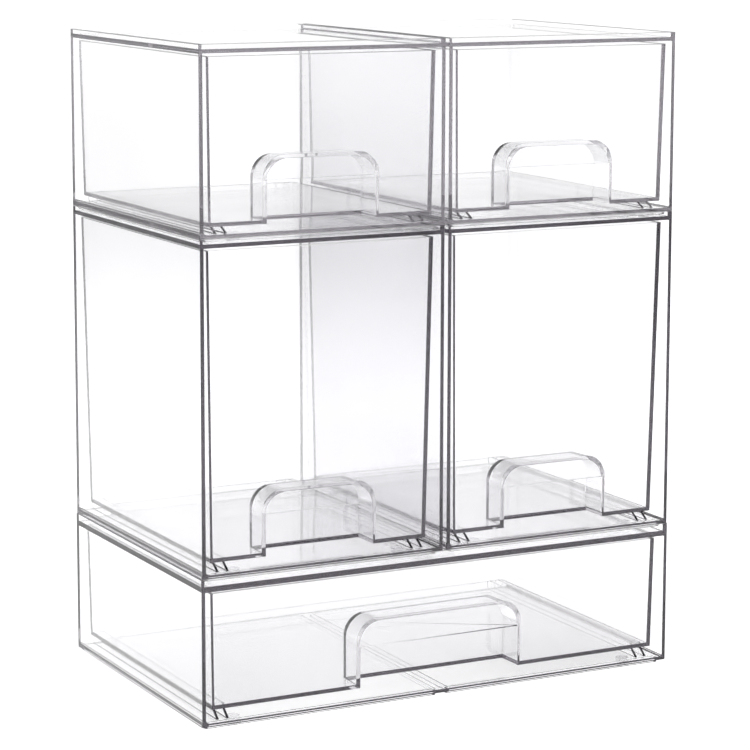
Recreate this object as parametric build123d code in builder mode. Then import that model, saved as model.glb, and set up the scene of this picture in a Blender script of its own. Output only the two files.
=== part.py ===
"""Clear stacking drawer organizer: five moulded casings, each with a pull-out drawer.

One wide low module carries two tall modules side by side, and those carry two short ones. Every casing is a thin
box with an open front, a stacking rim on top and a nesting foot below. Every drawer is a drafted tray with an
arched finger pull moulded into its front. Front is -Y, and z = 0 is the table under the pads.
"""

import math
import os
from dataclasses import dataclass

from build123d import *

os.makedirs("parts", exist_ok=True)

# Footprint
depth = 197.0
narrow_width = 159.0
neighbour_gap = 2.4
wide_overhang = 0.5
wide_width = 2 * (narrow_width + wide_overhang) + neighbour_gap

# Casing shell
wall = 2.4
floor = 2.2
floor_fillet = 2.2
corner_radius = 0.3

# Nesting foot, a low rib in a ring under the floor
foot_drop = 2.0
foot_rib = 2.1
foot_inset = 3.3
foot_corner = 2.0

# Pairs of thin runners on each casing floor carry the drawer
runner_outset = 11.2
runner_width = 1.6
runner_spacing = 6.4
runner_front = 5.0
runner_ramp = 8.0

# Clear bumpers under the floor, inside the corners of the foot
pad_radius = 4.0
pad_reach = 0.4
pad_side_inset = 25.0
pad_end_inset = 12.0

# Drawer shell
drawer_wall = 2.1
draft = 0.9
drawer_top_gap = 1.8
drawer_back_gap = 1.6
drawer_corner = 0.3
drawer_edge = 0.25
slope = math.tan(math.radians(draft))

# Finger pull: an arched pocket, open below, whose upper part stays covered by a lip of the front wall
pull_reach = 18.6
pull_draft = 2.0
pull_radius = 14.0
pull_opening = 25.3


@dataclass
class Module:
    """One size of casing and drawer. height runs from the shoulder that rests on the rim below to its own rim."""

    width: float
    height: float
    rim: float
    panel: float
    feet: int
    drawer_lift: float
    side_gap: float
    setback: float
    pull_width: float
    pull_height: float


wide = Module(wide_width, 88.7, 5.0, 3.0, 2, 8.5, 4.8, 3.6, 109.7, 40.3)
tall = Module(narrow_width, 198.2, 3.2, 2.2, 1, 7.4, 3.1, 4.0, 71.1, 37.6)
short = Module(narrow_width, 110.8, 3.2, 2.2, 1, 6.2, 3.1, 2.2, 71.1, 37.6)

# Stacking levels, each the height of the shoulder that a row of modules rests on
first_level = pad_reach + foot_drop
second_level = first_level + wide.height
third_level = second_level + tall.height
column = (narrow_width + neighbour_gap) / 2


def foot_centres(module):
    """Places of the nesting feet, one under each narrow module that could stand below."""
    return GridLocations(module.width / module.feet, 1, module.feet, 1)


def foot_width(module):
    """Width of one foot, which clears the rim of the module below by the foot inset."""
    return module.width / module.feet - 2 * foot_inset


def pad_centres(module):
    """Places of the four bumpers near the outer corners of the module."""
    return GridLocations(module.width - 2 * pad_side_inset, depth - 2 * pad_end_inset, 2, 2)


def runner_outline(module, plane):
    """Side view of a runner from the floor up to where the drawer slides, with a long ramp at the front."""
    front = runner_front - depth / 2
    back = depth / 2 - wall
    with BuildSketch(plane) as outline:
        with BuildLine():
            Polyline(
                (front, floor),
                (front + runner_ramp, module.drawer_lift),
                (back, module.drawer_lift),
                (back, floor),
                close=True,
            )
        make_face()
    return outline.sketch


def make_casing(module, x, level):
    """Thin outer box, open at the front, with its rim, foot rings and drawer runners."""
    top = level + module.height
    bay_height = module.height - module.rim - module.panel - floor
    with BuildPart() as casing:
        with BuildSketch(Plane((x, 0, level))):
            RectangleRounded(module.width, depth, corner_radius)
        extrude(amount=module.height)
        # The rim stands round the top panel, and the drawer bay is open towards the front
        with BuildSketch(Plane((x, 0, top - module.rim))):
            Rectangle(module.width - 2 * wall, depth - 2 * wall)
        extrude(amount=module.rim, mode=Mode.SUBTRACT)
        with BuildSketch(Plane((x, -wall / 2, level + floor))):
            Rectangle(module.width - 2 * wall, depth - wall)
        extrude(amount=bay_height, mode=Mode.SUBTRACT)
        # Soft inner corners where the walls meet the floor, all but its front edge
        floor_edges = casing.edges().group_by(Axis.Z)[1]
        fillet(floor_edges.sort_by(Axis.Y)[1:], radius=floor_fillet)
        with BuildSketch(Plane((x, 0, level - foot_drop))):
            with foot_centres(module):
                RectangleRounded(foot_width(module), depth - 2 * foot_inset, foot_corner)
                Rectangle(
                    foot_width(module) - 2 * foot_rib,
                    depth - 2 * (foot_inset + foot_rib),
                    mode=Mode.SUBTRACT,
                )
        extrude(amount=foot_drop)
        for outset in (runner_outset, runner_outset + runner_spacing):
            offset = (module.width - runner_width) / 2 - outset
            for side in (-offset, offset):
                side_view = Plane((x + side, 0, level), x_dir=(0, 1, 0), z_dir=(1, 0, 0))
                extrude(runner_outline(module, side_view), amount=runner_width / 2, both=True)
    return casing


def make_pads(module, x, level):
    """Four clear bumpers stuck under the floor, a little taller than the foot round them."""
    with BuildPart() as pads:
        with BuildSketch(Plane((x, 0, level - foot_drop - pad_reach))):
            with pad_centres(module):
                Circle(pad_radius)
        extrude(amount=foot_drop + pad_reach)
    return pads


def pull_arch(plane, width, height, below):
    """Arch outline: straight legs from `below` under the plane's origin, and round upper corners."""
    side = width / 2
    spring = height - pull_radius
    with BuildSketch(plane) as arch:
        with BuildLine():
            Polyline((-side, spring), (-side, -below), (side, -below), (side, spring))
            RadiusArc((-side, spring), (pull_radius - side, height), pull_radius)
            Line((pull_radius - side, height), (side - pull_radius, height))
            RadiusArc((side - pull_radius, height), (side, spring), pull_radius)
        make_face()
    return arch.sketch


def make_drawer(module, x, level):
    """Drafted open tray with the finger pull moulded into the lower middle of its front."""
    bottom = level + module.drawer_lift
    top = level + module.height - module.rim - module.panel - drawer_top_gap
    width = module.width - 2 * (wall + module.side_gap)
    length = depth - module.setback - wall - drawer_back_gap
    middle = (module.setback - wall - drawer_back_gap) / 2
    lean = (top - bottom) * slope
    front_top = module.setback - depth / 2
    front_foot = front_top + lean
    front_plane = Plane((x, front_top, bottom), x_dir=(1, 0, 0), z_dir=(0, -1, 0))
    lip_plane = front_plane.offset(-lean - drawer_wall)
    top_plane = Plane((x, middle, top))
    with BuildPart() as drawer:
        # Drafted outside with softened corners, which also trims the pocket below
        with BuildSketch(top_plane):
            Rectangle(width, length)
        extrude(amount=bottom - top, taper=draft)
        fillet(drawer.edges().group_by(Axis.Z)[1], radius=drawer_corner)
        fillet(drawer.faces().sort_by(Axis.Z)[0].edges(), radius=drawer_edge)
        envelope = drawer.part
        with BuildSketch(top_plane):
            Rectangle(width - 2 * drawer_wall, length - 2 * drawer_wall)
        extrude(amount=bottom + drawer_wall - top, taper=draft, mode=Mode.SUBTRACT)
        # The pocket's own walls stand in the tray, trimmed to the drafted front
        extrude(
            pull_arch(front_plane, module.pull_width + 2 * drawer_wall, module.pull_height + drawer_wall, 0),
            amount=-(lean + pull_reach + drawer_wall),
            taper=pull_draft,
        )
        add(envelope, mode=Mode.INTERSECT)
        # The hand's way in: up from below behind the lip, and in from the front under it
        extrude(
            pull_arch(lip_plane, module.pull_width, module.pull_height, drawer_wall),
            amount=-(pull_reach - drawer_wall),
            taper=pull_draft,
            mode=Mode.SUBTRACT,
        )
        with BuildSketch(lip_plane):
            with Locations((0, pull_opening / 2 - drawer_wall)):
                Rectangle(module.pull_width, pull_opening + 2 * drawer_wall)
        extrude(amount=2 * (drawer_wall + lean), mode=Mode.SUBTRACT)
    return drawer


def write(piece, name):
    """Labels a finished piece and writes it under the same name."""
    piece.part.label = name
    export_step(piece.part, f"parts/{name}.step")


stack = {
    "bottom": (wide, 0, first_level),
    "middle_left": (tall, -column, second_level),
    "middle_right": (tall, column, second_level),
    "top_left": (short, -column, third_level),
    "top_right": (short, column, third_level),
}

for place, (size, centre, shoulder) in stack.items():
    write(make_casing(size, centre, shoulder), f"{place}_casing")
    write(make_pads(size, centre, shoulder), f"{place}_pads")
    write(make_drawer(size, centre, shoulder), f"{place}_drawer")
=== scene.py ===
import math

import bmesh
import bpy
from mathutils import Matrix, Vector


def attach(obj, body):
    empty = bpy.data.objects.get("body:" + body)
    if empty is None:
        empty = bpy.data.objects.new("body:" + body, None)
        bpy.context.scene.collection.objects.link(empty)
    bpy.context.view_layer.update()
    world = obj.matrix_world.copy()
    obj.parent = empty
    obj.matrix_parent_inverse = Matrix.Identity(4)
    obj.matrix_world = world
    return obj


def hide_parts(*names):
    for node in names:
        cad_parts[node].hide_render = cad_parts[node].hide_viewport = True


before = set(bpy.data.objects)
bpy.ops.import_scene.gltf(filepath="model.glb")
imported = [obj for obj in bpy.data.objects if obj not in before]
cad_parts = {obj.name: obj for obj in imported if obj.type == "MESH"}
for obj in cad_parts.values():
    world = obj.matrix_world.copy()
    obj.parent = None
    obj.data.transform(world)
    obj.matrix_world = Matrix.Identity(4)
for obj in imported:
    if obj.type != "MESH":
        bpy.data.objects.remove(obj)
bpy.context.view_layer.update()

scene = bpy.context.scene
WHITE = (1, 1, 1, 1)


# Helpers for objects and node trees

def place_in_scene(name, data):
    """A new object that holds the data, linked to the scene."""
    obj = bpy.data.objects.new(name, data)
    scene.collection.objects.link(obj)
    return obj


def new_material(name):
    """An empty node material, its tree and its output."""
    mat = bpy.data.materials.new(name)
    mat.use_nodes = True
    tree = mat.node_tree
    tree.nodes.clear()
    out = tree.nodes.new("ShaderNodeOutputMaterial")
    return mat, tree, out


def linked(tree, kind, *sources):
    """A node of the tree, its inputs set in order from values or from other sockets."""
    node = tree.nodes.new(kind)
    for socket, source in zip(node.inputs, sources):
        if isinstance(source, bpy.types.NodeSocket):
            tree.links.new(source, socket)
        else:
            socket.default_value = source
    return node


def maths(tree, operation, *sources):
    """The result of a Math node."""
    node = linked(tree, "ShaderNodeMath", *sources)
    node.operation = operation
    return node.outputs[0]


def dot(tree, vector, axis):
    """How far the vector reaches along the axis."""
    node = linked(tree, "ShaderNodeVectorMath", vector, axis)
    node.operation = "DOT_PRODUCT"
    return node.outputs["Value"]


def length(tree, vector):
    """The vector's length."""
    node = linked(tree, "ShaderNodeVectorMath", vector)
    node.operation = "LENGTH"
    return node.outputs["Value"]


def ramp(tree, value, start, end, before, after, shape="SMOOTHSTEP"):
    """Goes from before to after as the value goes from start to end."""
    node = linked(tree, "ShaderNodeMapRange", value, start, end, before, after)
    node.interpolation_type = shape
    return node.outputs[0]


# Materials

PLASTIC_IOR, PAD_IOR = 1.49, 1.45
CASING_TINT, DRAWER_TINT, PAD_TINT = (0.995, 0.995, 0.998), (0.992, 0.992, 0.996), (0.97, 0.97, 0.975)

# What light turns to on a long way through the plastic, and how soon. The top row's lower density is painted
# light: its edges are made paler as if more light fell on it from above.
PLASTIC_DEPTH, PAD_DEPTH = (0.31, 0.28, 0.33), (0.5, 0.5, 0.52)
ROW_DENSITY_WITH_PAINTED_TOP_LIGHT = {"bottom": 18.5, "middle": 18.0, "top": 9.5}
PAD_DENSITY = 60.0

# The most roughness that handling marks give, and that of the top lips
PLASTIC_SCUFF, PAD_SCUFF = 0.02, 0.12
LIP_ROUGHNESS = 0.4

CLOUD_SCALE, CLOUD_DETAIL = 9.0, 2.0
CLOUD_LOW, CLOUD_HIGH = 0.3, 0.7
CLOUD_SHADE = 0.985
SMEAR_SCALE, SMEAR_DETAIL, SMEAR_BREAKUP = 34.0, 5.0, 0.65
SMEAR_LOW, SMEAR_HIGH = 0.35, 0.8


def clear_plastic(name, tint, ior, scuff, depth_colour, density):
    """Polished clear moulding: a smooth refracting skin with faint handling marks, over a body that darkens
    along its length, as the edges of clear sheet do."""
    mat, tree, out = new_material(name)
    skin = tree.nodes.new("ShaderNodeBsdfPrincipled")
    skin.inputs["Transmission Weight"].default_value = 1.0
    skin.inputs["IOR"].default_value = ior
    spot = tree.nodes.new("ShaderNodeTexCoord").outputs["Object"]

    # Faint cloudy variation of the resin's colour
    cloud = tree.nodes.new("ShaderNodeTexNoise")
    cloud.inputs["Scale"].default_value = CLOUD_SCALE
    cloud.inputs["Detail"].default_value = CLOUD_DETAIL
    tree.links.new(spot, cloud.inputs["Vector"])
    colour = linked(tree, "ShaderNodeValToRGB", cloud.outputs["Fac"])
    shaded, full = colour.color_ramp.elements
    shaded.position, full.position = CLOUD_LOW, CLOUD_HIGH
    shaded.color = (*[c * CLOUD_SHADE for c in tint], 1)
    full.color = (*tint, 1)
    tree.links.new(colour.outputs["Color"], skin.inputs["Base Color"])

    # Gloss broken by soft smears and hairline scuffs, with the top lips a little matte
    smear = tree.nodes.new("ShaderNodeTexNoise")
    smear.inputs["Scale"].default_value = SMEAR_SCALE
    smear.inputs["Detail"].default_value = SMEAR_DETAIL
    smear.inputs["Roughness"].default_value = SMEAR_BREAKUP
    tree.links.new(spot, smear.inputs["Vector"])
    marks = ramp(tree, smear.outputs["Fac"], SMEAR_LOW, SMEAR_HIGH, 0.0, scuff, shape="LINEAR")
    lip = tree.nodes.new("ShaderNodeAttribute")
    lip.attribute_name = "lip"
    roughness = maths(tree, "MULTIPLY_ADD", lip.outputs["Fac"], LIP_ROUGHNESS, marks)
    tree.links.new(roughness, skin.inputs["Roughness"])

    body = tree.nodes.new("ShaderNodeVolumeAbsorption")
    body.inputs["Color"].default_value = (*depth_colour, 1)
    body.inputs["Density"].default_value = density
    tree.links.new(skin.outputs["BSDF"], out.inputs["Surface"])
    tree.links.new(body.outputs["Volume"], out.inputs["Volume"])
    return mat


# Casing and drawer materials per row, differing only in density: the top row's paler edges are painted light,
# not a clearer plastic.
casing_clear, drawer_clear = {}, {}
for row, density in ROW_DENSITY_WITH_PAINTED_TOP_LIGHT.items():
    casing_clear[row] = clear_plastic("casing_clear_" + row, CASING_TINT, PLASTIC_IOR, PLASTIC_SCUFF,
                                      PLASTIC_DEPTH, density)
    drawer_clear[row] = clear_plastic("drawer_clear_" + row, DRAWER_TINT, PLASTIC_IOR, PLASTIC_SCUFF,
                                      PLASTIC_DEPTH, density)
pad_clear = clear_plastic("pad_clear", PAD_TINT, PAD_IOR, PAD_SCUFF, PAD_DEPTH, PAD_DENSITY)


# Pieces: each moulding is its CAD solid with every sharp edge broken, and a hair of air where pieces meet

PLACES = ("bottom", "middle_left", "middle_right", "top_left", "top_right")
BODY_OF = {"casing": "module", "drawer": "drawer", "pads": "module"}

# How far edges are broken in general and along the top lips
EDGE_BREAK, CASING_LIP, DRAWER_LIP, PAD_BREAK = 0.0003, 0.00055, 0.0005, 0.00015
BREAK_STEPS, ROUND = 2, 0.5

# Edges at a turn above SHARP are broken, apart from those below SHORT and those of a runner's ramp, which run
# and rise at least this far and step aside by no more than this
SHARP, SHORT = math.radians(60), 0.0015
RAMP_RUN, RAMP_RISE, RAMP_SIDESTEP = 0.001, 0.0002, 1e-6

# How far the lip's faces reach down, as a share of its radius
LIP_REACH = 1.2

# The air on every side of a piece, and the width of one pad
AIR, PAD_WIDTH = 0.00006, 0.008

# Corners and faces of the CAD mesh that are one, and how the shading of flat and rounded faces meets
SAME_POINT, SAME_FACE = 1e-5, math.radians(0.5)
SHADING_SPLIT, LARGE_FACES_RULE = math.radians(21), 100


def is_ramp(edge):
    """True for the slanted edges of a runner's ramp, which are left crisp."""
    way = edge.verts[1].co - edge.verts[0].co
    return abs(way.x) < RAMP_SIDESTEP and abs(way.y) > RAMP_RUN and abs(way.z) > RAMP_RISE


def is_sharp(edge):
    """True for the edges that are broken."""
    if len(edge.link_faces) != 2 or is_ramp(edge):
        return False
    return edge.calc_face_angle(0) > SHARP and edge.calc_length() > SHORT


def lowest(part):
    """The lowest height of an edge's or a face's corners."""
    return min(v.co.z for v in part.verts)


def break_edges(bm, radius, lip):
    """Merges the solid's triangles into its real faces and rounds its sharp edges, its top lip with a larger
    radius. Where the lip has its own radius, its faces are marked for the material."""
    bmesh.ops.remove_doubles(bm, verts=bm.verts, dist=SAME_POINT)
    bmesh.ops.dissolve_limit(bm, angle_limit=SAME_FACE, verts=bm.verts, edges=bm.edges)
    top = max(v.co.z for v in bm.verts) - SAME_POINT
    for offset, on_lip in ((lip, True), (radius, False)):
        edges = [e for e in bm.edges if is_sharp(e) and (lowest(e) > top) == on_lip]
        bmesh.ops.bevel(bm, geom=edges, offset=offset, offset_type="OFFSET", segments=BREAK_STEPS,
                        profile=ROUND, affect="EDGES", clamp_overlap=False, miter_outer="SHARP")
    matte = bm.faces.layers.float.new("lip")
    for face in bm.faces:
        face[matte] = 1.0 if lip > radius and lowest(face) > top - LIP_REACH * lip else 0.0


def shrink(bm):
    """Draws the moulding in by the same small amount on every side."""
    lo = Vector([min(v.co[i] for v in bm.verts) for i in range(3)])
    hi = Vector([max(v.co[i] for v in bm.verts) for i in range(3)])
    mid, size = (lo + hi) / 2, hi - lo
    for v in bm.verts:
        v.co = Vector([mid[i] + (v.co[i] - mid[i]) * (1 - 2 * AIR / size[i]) for i in range(3)])


def middle(verts):
    """The mean place of the vertices."""
    return sum((v.co for v in verts), Vector()) / len(verts)


def shrink_pads(bm):
    """The same for a set of four pads, each about its own middle."""
    mid = middle(bm.verts)
    for side, end in ((-1, -1), (-1, 1), (1, -1), (1, 1)):
        pad = [v for v in bm.verts if (v.co.x - mid.x) * side > 0 and (v.co.y - mid.y) * end > 0]
        centre = middle(pad)
        for v in pad:
            v.co = centre + (v.co - centre) * (1 - 2 * AIR / PAD_WIDTH)


def dress(place, kind, radius, lip, mat):
    """The dressed piece for one CAD node, on the same body."""
    node_name = f"{place}_{kind}"
    bm = bmesh.new()
    bm.from_mesh(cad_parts[node_name].data)
    break_edges(bm, radius, lip)
    if kind == "pads":
        shrink_pads(bm)
    else:
        shrink(bm)
    if kind == "drawer":
        bmesh.ops.translate(bm, vec=(0, 0, AIR), verts=bm.verts)
    mesh = bpy.data.meshes.new(node_name + "_moulding")
    bm.to_mesh(mesh)
    bm.free()
    mesh.shade_smooth()
    mesh.set_sharp_from_angle(angle=SHADING_SPLIT)
    mesh.materials.append(mat)
    piece = place_in_scene(node_name + "_moulding", mesh)
    even = piece.modifiers.new("flat_faces_rule", "WEIGHTED_NORMAL")
    even.weight = LARGE_FACES_RULE
    even.keep_sharp = True
    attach(piece, f"{place}_{BODY_OF[kind]}")
    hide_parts(node_name)


for place in PLACES:
    row = place.split("_")[0]
    dress(place, "casing", EDGE_BREAK, CASING_LIP, casing_clear[row])
    dress(place, "drawer", EDGE_BREAK, DRAWER_LIP, drawer_clear[row])
    dress(place, "pads", PAD_BREAK, PAD_BREAK, pad_clear)


# The photograph's line of sight: yaw to the right of straight back, pitch upwards, and roll, in radians

YAW, PITCH, ROLL = 0.481268, -0.147344, 0.00223964
BACK = (math.sin(YAW), math.cos(YAW), 0.0)
ACROSS = (math.cos(YAW), -math.sin(YAW), 0.0)


# The floor glows with painted light, though it is no lamp: most under and behind the part, less to its sides,
# and evenly far off

FLOOR_RADIUS, FLOOR_SIDES = 40.0, 64
FLOOR_PAINT = (0.93, 0.93, 0.93, 1)
FLOOR_ROUGHNESS, FLOOR_SHINE = 0.6, 0.2

# The painted glow in the bright strip, beside it and far off, where each gives way to the next, and how the
# strip widens
STRIP, BESIDE, FAR = 0.95, 0.32, 0.72
STRIP_EDGE, STRIP_END, FAR_RANGE = (0.45, 1.5), (-1.9, -0.5), (2.6, 7.0)
STRIP_SPREAD = 0.3


def disc(name, radius, sides):
    """A flat round stage on the ground."""
    mesh = bpy.data.meshes.new(name)
    turns = [i * math.tau / sides for i in range(sides)]
    rim = [(radius * math.cos(turn), radius * math.sin(turn), 0.0) for turn in turns]
    mesh.from_pydata(rim, [], [tuple(range(sides))])
    obj = place_in_scene(name, mesh)
    return obj


def painted_floor_glow(tree):
    """How brightly each place of the floor glows, as painted light: a painted pool of light in a strip that
    widens to the back, and even glow far off.
    """
    spot = tree.nodes.new("ShaderNodeTexCoord").outputs["Object"]
    back_by = dot(tree, spot, BACK)
    side_by = maths(tree, "ABSOLUTE", dot(tree, spot, ACROSS))
    spread = maths(tree, "MULTIPLY", maths(tree, "MAXIMUM", back_by, 0.0), STRIP_SPREAD)
    beside = ramp(tree, maths(tree, "SUBTRACT", side_by, spread), *STRIP_EDGE, STRIP, BESIDE)
    ahead = ramp(tree, back_by, *STRIP_END, BESIDE, STRIP)
    near = maths(tree, "MINIMUM", beside, ahead)
    return ramp(tree, length(tree, spot), *FAR_RANGE, near, FAR)


floor_mat, tree, out = new_material("floor_pale_painted_glow")
pale = tree.nodes.new("ShaderNodeBsdfPrincipled")
pale.inputs["Base Color"].default_value = FLOOR_PAINT
pale.inputs["Roughness"].default_value = FLOOR_ROUGHNESS
pale.inputs["Specular IOR Level"].default_value = FLOOR_SHINE
pale.inputs["Emission Color"].default_value = WHITE
# The floor's emission is painted light: it glows brightest under and behind the part, though it is no lamp.
tree.links.new(painted_floor_glow(tree), pale.inputs["Emission Strength"])
tree.links.new(pale.outputs["BSDF"], out.inputs["Surface"])
floor = disc("floor", FLOOR_RADIUS, FLOOR_SIDES)
floor.data.materials.append(floor_mat)


# Surroundings: a white ring round the horizon, a dark dome over it and a lit ceiling. Heights are sines of
# the angle above the horizon.

RING, DOME, CEILING = 1.08, 0.06, 0.8
RING_TOP, CEILING_EDGE = (0.25, 0.39), (0.76, 0.84)

world = bpy.data.worlds.new("studio")
world.use_nodes = True
scene.world = world
tree = world.node_tree
tree.nodes.clear()
way = tree.nodes.new("ShaderNodeTexCoord").outputs["Generated"]
height = linked(tree, "ShaderNodeSeparateXYZ", way).outputs["Z"]
ring = ramp(tree, height, *RING_TOP, RING, DOME)
ceiling = ramp(tree, height, *CEILING_EDGE, 0.0, CEILING)
sky = linked(tree, "ShaderNodeBackground", WHITE, maths(tree, "ADD", ring, ceiling))
linked(tree, "ShaderNodeOutputWorld", sky.outputs["Background"])


# One large softbox, from the upper left in front

KEY_PLACE, KEY_AIM = Vector((-2.4, -1.2, 2.6)), Vector((0, 0, 0.2))
KEY_SIDE, KEY_WATTS = 1.2, 14

key_data = bpy.data.lights.new("key", "AREA")
key_data.shape = "RECTANGLE"
key_data.size = KEY_SIDE
key_data.size_y = KEY_SIDE
key_data.energy = KEY_WATTS
key = place_in_scene("key", key_data)
key.location = KEY_PLACE
key.rotation_euler = (KEY_AIM - KEY_PLACE).to_track_quat("-Z", "Y").to_euler()


# The camera, at the photograph's place and angle. The focal length is in pixels of the square picture.

PICTURE_SIDE, FOCAL_LENGTH = 750, 2747.5
SENSOR, SHIFT_UP, CLIP_END = 36.0, -0.1, 100
CAMERA_PLACE = (-0.7881, -1.5158, 0.4846)

cam_data = bpy.data.cameras.new("camera")
cam_data.sensor_width = SENSOR
cam_data.lens = FOCAL_LENGTH / PICTURE_SIDE * SENSOR
cam_data.shift_y = SHIFT_UP
cam_data.clip_end = CLIP_END
forward = Vector((math.sin(YAW) * math.cos(PITCH), math.cos(YAW) * math.cos(PITCH), math.sin(PITCH)))
level_right = Vector(ACROSS)
level_up = level_right.cross(forward)
right = math.cos(ROLL) * level_right + math.sin(ROLL) * level_up
up = -math.sin(ROLL) * level_right + math.cos(ROLL) * level_up
turn = Matrix((right, up, -forward)).transposed()
cam = place_in_scene("camera", cam_data)
cam.matrix_world = Matrix.Translation(CAMERA_PLACE) @ turn.to_4x4()
scene.camera = cam


# Colours as they are, and enough bounces for light that runs inside the walls

ALL_BOUNCES, CLEAR_BOUNCES = 90, 64

scene.view_settings.view_transform = "Standard"
scene.cycles.max_bounces = ALL_BOUNCES
scene.cycles.transmission_bounces = CLEAR_BOUNCES
scene.cycles.glossy_bounces = CLEAR_BOUNCES
